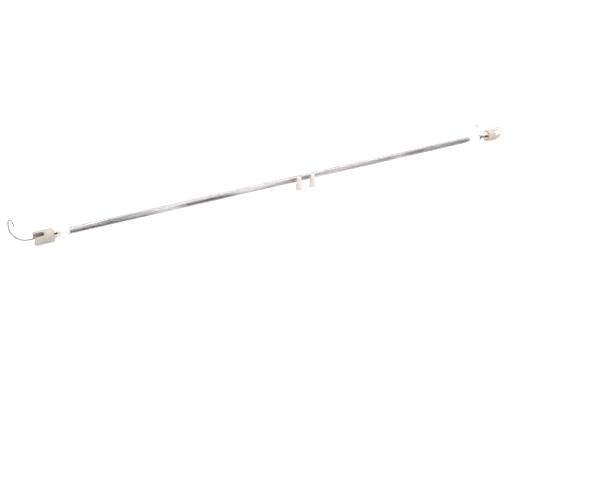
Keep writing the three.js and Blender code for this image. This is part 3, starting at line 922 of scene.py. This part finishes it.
def end_cap(side):
    """A pressed ceramic barrel, bored through, counterbored for the cement, with a slot across."""
    section = [
        (-CAP_LENGTH, COUNTERBORE_R), (-CAP_LENGTH, CAP_R), (0, CAP_R), (0, BORE_R),
        (COUNTERBORE_TO, BORE_R), (COUNTERBORE_TO, COUNTERBORE_R), (-CAP_LENGTH, COUNTERBORE_R),
    ]
    points, quads = revolved(section, 128, end_place(side, SLOT_ANGLE[side]))
    piece = weld(make_piece(f"ceramic_cap_{side}", points, quads))
    cut(piece, slot_cutter(side))
    soften(piece, 0.16 * MM, 5)
    return finish_piece(piece, "lamp", STEATITE, [f"end_cap_{side}"])


def lumpy(piece, size, depth, seed):
    """Moves each point along its normal by smooth noise, so a hand-laid surface isn't true."""
    shift = Vector((seed, 2 * seed, -seed))
    mesh = piece.data
    normals = [v.normal.copy() for v in mesh.vertices]
    for vertex, normal in zip(mesh.vertices, normals):
        vertex.co += normal * depth * noise.noise(vertex.co / size + shift)
    return piece


def cement_plug(side):
    """Cement in the cap's mouth, pressed over its rim, with two tongues drawn down the pinch."""
    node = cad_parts[f"cement_plug_{side}"]
    mesh = node.data.copy()
    piece = bpy.data.objects.new(f"cement_{side}", mesh)
    bpy.context.collection.objects.link(piece)
    piece.matrix_world = node.matrix_world
    weld(piece)
    soften(piece, 0.2 * MM, 6)
    mouth = abs(FACE_X[side]) - CAP_LENGTH
    for vertex in piece.data.vertices:
        beyond = mouth - abs(vertex.co.x)
        if beyond > 0:
            vertex.co.x -= OUTWARD[side] * beyond * CEMENT_DRAWN_OUT[side]
            fade = math.exp(-(beyond / (2.5 * MM)) ** 2) * min(1, beyond / (0.6 * MM))
            rise = CEMENT_SWELL * fade
            vertex.co.y += (vertex.co.y - AXIS_Y) * rise
            vertex.co.z += (vertex.co.z - AXIS_Z) * rise
    lumpy(piece, 1.6 * MM, 0.28 * MM, 3 if side == "left" else 8)
    return finish_piece(piece, "lamp", CEMENT, [f"cement_plug_{side}"])


for side in SIDES:
    end_cap(side)
    cement_plug(side)


# Wire nuts ---------------------------------------------------------------------------------------

NUT_WALL = 0.95 * MM
NUT_TOP_SHARE = 0.6  # of the mouth's radius
NUT_CROWN = 2.6 * MM  # solid clay over the cavity
NUT_SKIRT = 6.2 * MM  # plain mouth below the spring
NUT_FLARE = 0.35 * MM
SPRING_WIRE_R = 0.34 * MM
SPRING_TURNS = 8


def nut_places():
    for number in (1, 2):
        low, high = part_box(f"wire_nut_shell_{number}")
        foot = Vector(((low.x + high.x) / 2, (low.y + high.y) / 2, low.z))
        yield number, foot, (high.x - low.x) / 2, high.z - low.z


def cone_r(z, base_r, height):
    return base_r * (1 - (1 - NUT_TOP_SHARE) * z / height)


def nut_shell(number, foot, base_r, height):
    """A cone with a small rim round its mouth and a step inside where the spring sits."""
    top_r = NUT_TOP_SHARE * base_r
    roof = height - NUT_CROWN
    section = [
        (roof, 0), (roof, cone_r(roof, base_r, height) - NUT_WALL),
        (NUT_SKIRT, cone_r(NUT_SKIRT, base_r, height) - NUT_WALL),
        (NUT_SKIRT, cone_r(NUT_SKIRT, base_r, height) - NUT_WALL + 0.25 * MM),
        (0, base_r - NUT_WALL), (0, base_r + NUT_FLARE), (1.5 * MM, base_r + NUT_FLARE),
        (3.2 * MM, cone_r(3.2 * MM, base_r, height) + 0.05 * MM),
        (height - 1.2 * MM, top_r + 0.05 * MM), (height, top_r - 0.5 * MM), (height, 0),
    ]
    fine = rounded(section, 1.0 * MM, 8)
    upright = lambda p: np.stack([p[:, 2] + foot.x, p[:, 1] + foot.y, p[:, 0] + foot.z], 1)
    piece = weld(make_piece(f"porcelain_nut_{number}", *revolved(fine, 96, upright), smooth_below=60))
    return finish_piece(piece, f"wire_nut_{number}", PORCELAIN, [f"wire_nut_shell_{number}"])


def nut_spring(number, foot, base_r, height):
    """A tapering coil of wire that bites on the twisted leads."""
    t = np.linspace(0, 1, SPRING_TURNS * 28 + 1)
    z = NUT_SKIRT + 0.75 * MM + t * (height - NUT_CROWN - NUT_SKIRT - 1.6 * MM)
    reach = cone_r(z, base_r, height) - NUT_WALL - 0.35 * MM - SPRING_WIRE_R
    angle = 2 * math.pi * SPRING_TURNS * t
    line = np.stack([foot.x + reach * np.cos(angle), foot.y + reach * np.sin(angle), foot.z + z], 1)
    piece = make_piece(f"nut_spring_{number}", *swept(line, SPRING_WIRE_R, 10))
    return finish_piece(piece, f"wire_nut_{number}", SPRING, [f"wire_nut_spring_{number}"])


for nut in nut_places():
    nut_shell(*nut)
    nut_spring(*nut)


# CAD pieces kept as they are, with their finish ---------------------------------------------------

for side, bare_metal in (("left", COPPER), ("right", TINNED)):
    for node, material in ((f"outer_pin_{side}", NICKEL), (f"lead_core_{side}", bare_metal)):
        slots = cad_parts[node].material_slots
        slots[0].material = material


# Stage and light ---------------------------------------------------------------------------------

FLOOR_HALF = 8
FLOOR_DROP = 0.2 * MM  # keeps the floor clear of the faces that rest on it


def stage():
    """A matt white floor, a little brighter where it is looked at directly."""
    mesh = bpy.data.meshes.new("floor")
    half = FLOOR_HALF
    corners = [(-half, -half, 0), (half, -half, 0), (half, half, 0), (-half, half, 0)]
    mesh.from_pydata(corners, [], [(0, 1, 2, 3)])
    floor = bpy.data.objects.new("floor", mesh)
    bpy.context.collection.objects.link(floor)
    material, tree, shader = new_material("pale_floor")
    shader.inputs["Base Color"].default_value = (0.92, 0.92, 0.92, 1)
    shader.inputs["Roughness"].default_value = 0.9
    shader.inputs["Specular IOR Level"].default_value = 0.1
    glow = add(tree, "ShaderNodeEmission", {"Strength": 0.45})
    direct = add(tree, "ShaderNodeLightPath").outputs["Is Camera Ray"]
    lifted = add(tree, "ShaderNodeAddShader", links={0: shader.outputs[0], 1: glow.outputs[0]})
    mixed = add(tree, "ShaderNodeMixShader", links={0: direct, 1: shader.outputs[0], 2: lifted.outputs[0]})
    tree.links.new(mixed.outputs[0], tree.nodes["Material Output"].inputs["Surface"])
    mesh.materials.append(material)
    floor.location.z = -FLOOR_DROP


def soft_light(name, place, target, size, power, mirrored=True):
    data = bpy.data.lights.new(name, "AREA")
    data.shape, data.size, data.energy = "DISK", size, power
    light = bpy.data.objects.new(name, data)
    light.location = place
    light.visible_glossy = mirrored
    light.rotation_euler = (Vector(target) - Vector(place)).to_track_quat("-Z", "Y").to_euler()
    bpy.context.collection.objects.link(light)


def light_up():
    """A ceiling that falls off to a dim horizon, one large soft lamp and a weak front one. What is
    looked at directly past the floor is plain white."""
    world = bpy.data.worlds.new("studio")
    bpy.context.scene.world = world
    world.use_nodes = True
    tree = world.node_tree
    way = add(tree, "ShaderNodeTexCoord").outputs["Generated"]
    rise = add(tree, "ShaderNodeSeparateXYZ", links={"Vector": way}).outputs["Z"]
    ceiling = math_node(tree, "MULTIPLY", ramp(tree, rise, 0.85, 1.0), 0.3)
    dome = math_node(tree, "SUBTRACT", math_node(tree, "ADD", ramp(tree, rise, 0.05, 0.75), 0.16), ceiling)
    seen = add(tree, "ShaderNodeLightPath").outputs["Is Camera Ray"]
    tree.links.new(math_node(tree, "MAXIMUM", dome, seen), tree.nodes["Background"].inputs["Strength"])
    tree.nodes["Background"].inputs["Color"].default_value = (1, 1, 1, 1)
    soft_light("overhead", (0.45, 0.15, 1.7), (0.1, 0, 0), 1.6, 25, mirrored=False)
    soft_light("front_fill", (0.35, -1.8, 1.05), (0, 0, 0), 1.1, 9)
    bpy.context.scene.view_settings.view_transform = "Standard"


stage()
light_up()
